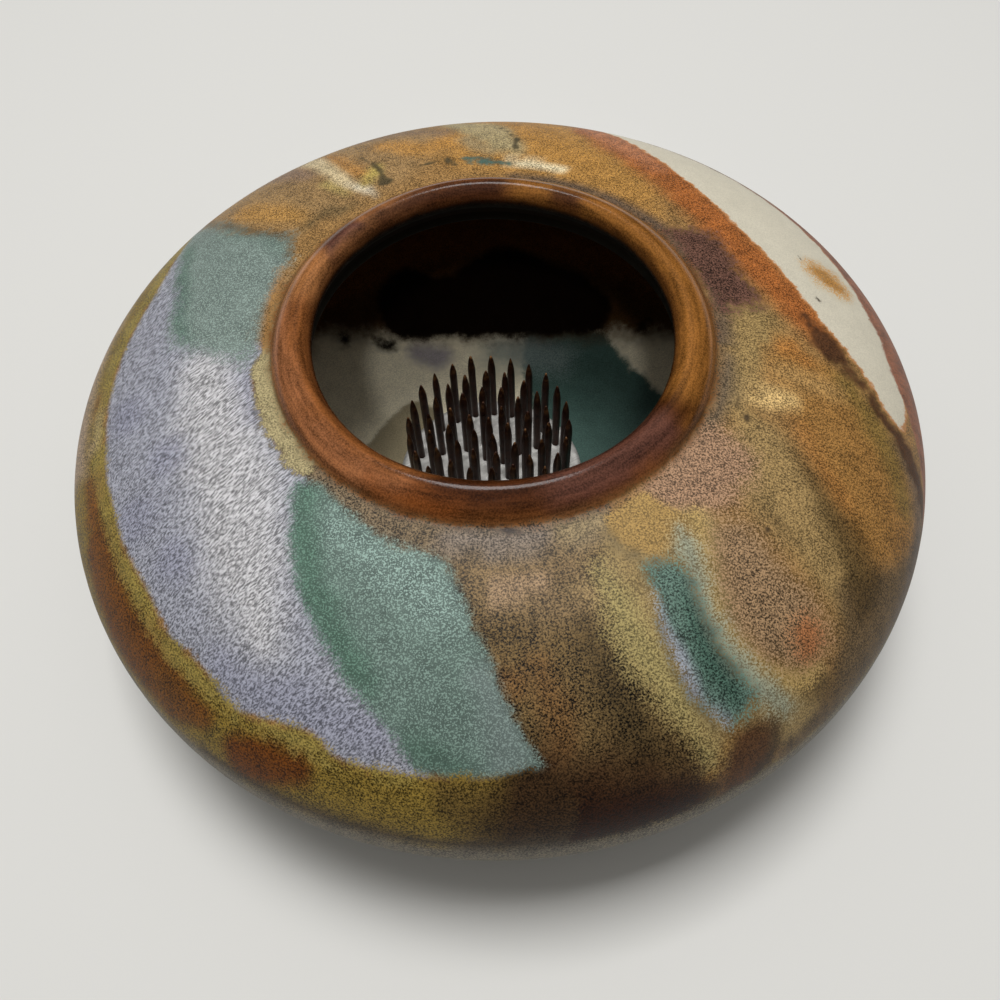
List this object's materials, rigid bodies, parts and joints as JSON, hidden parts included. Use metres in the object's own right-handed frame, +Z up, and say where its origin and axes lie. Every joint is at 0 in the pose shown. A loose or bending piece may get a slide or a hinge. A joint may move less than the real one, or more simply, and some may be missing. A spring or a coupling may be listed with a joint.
{
  "type": "flower frog vase",
  "caption": "Low lens-shaped stoneware vase with a narrow rolled lip and a loose pin frog on its floor, for holding cut stems upright in water.",
  "frame": {"origin": "centre of the foot ring, on the surface that the vase stands on", "axes": "+Z up along the vase's axis of turning, +Y away from the picture's viewer, +X to the viewer's right"},
  "size_m": [0.152, 0.152, 0.0598],
  "materials": {
    "glazed_stoneware": "satin poured glazes, mottled and crystalline, over a pale body",
    "frog_disc": "dull pale cast lead alloy with fine scratches",
    "needles": "dark tarnished brass with worn tips"
  },
  "bodies": {
    "vase": {"vase_body": "glazed_stoneware"},
    "frog": {"frog_disc": "frog_disc", "needle_core": "needles", "needle_inner_01": "needles", "needle_inner_02": "needles", "needle_inner_03": "needles", "needle_inner_04": "needles", "needle_inner_05": "needles", "needle_inner_06": "needles", "needle_inner_07": "needles", "needle_inner_08": "needles", "needle_inner_09": "needles", "needle_inner_10": "needles", "needle_inner_11": "needles", "needle_inner_12": "needles", "needle_middle_01": "needles", "needle_middle_02": "needles", "needle_middle_03": "needles", "needle_middle_04": "needles", "needle_middle_05": "needles", "needle_middle_06": "needles", "needle_middle_07": "needles", "needle_middle_08": "needles", "needle_middle_09": "needles", "needle_middle_10": "needles", "needle_middle_11": "needles", "needle_middle_12": "needles", "needle_middle_13": "needles", "needle_middle_14": "needles", "needle_middle_15": "needles", "needle_middle_16": "needles", "needle_middle_17": "needles", "needle_middle_18": "needles", "needle_outer_01": "needles", "needle_outer_02": "needles", "needle_outer_03": "needles", "needle_outer_04": "needles", "needle_outer_05": "needles", "needle_outer_06": "needles", "needle_outer_07": "needles", "needle_outer_08": "needles", "needle_outer_09": "needles", "needle_outer_10": "needles", "needle_outer_11": "needles", "needle_outer_12": "needles", "needle_outer_13": "needles", "needle_outer_14": "needles", "needle_outer_15": "needles", "needle_outer_16": "needles", "needle_outer_17": "needles", "needle_outer_18": "needles", "needle_outer_19": "needles", "needle_outer_20": "needles", "needle_outer_21": "needles", "needle_outer_22": "needles", "needle_outer_23": "needles", "needle_outer_24": "needles"}
  },
  "joints": [
    {"name": "frog_lift", "type": "slide", "parent": "vase", "child": "frog", "axis": [0, 0, 1], "range_m": [0, 0.065]}
  ]
}
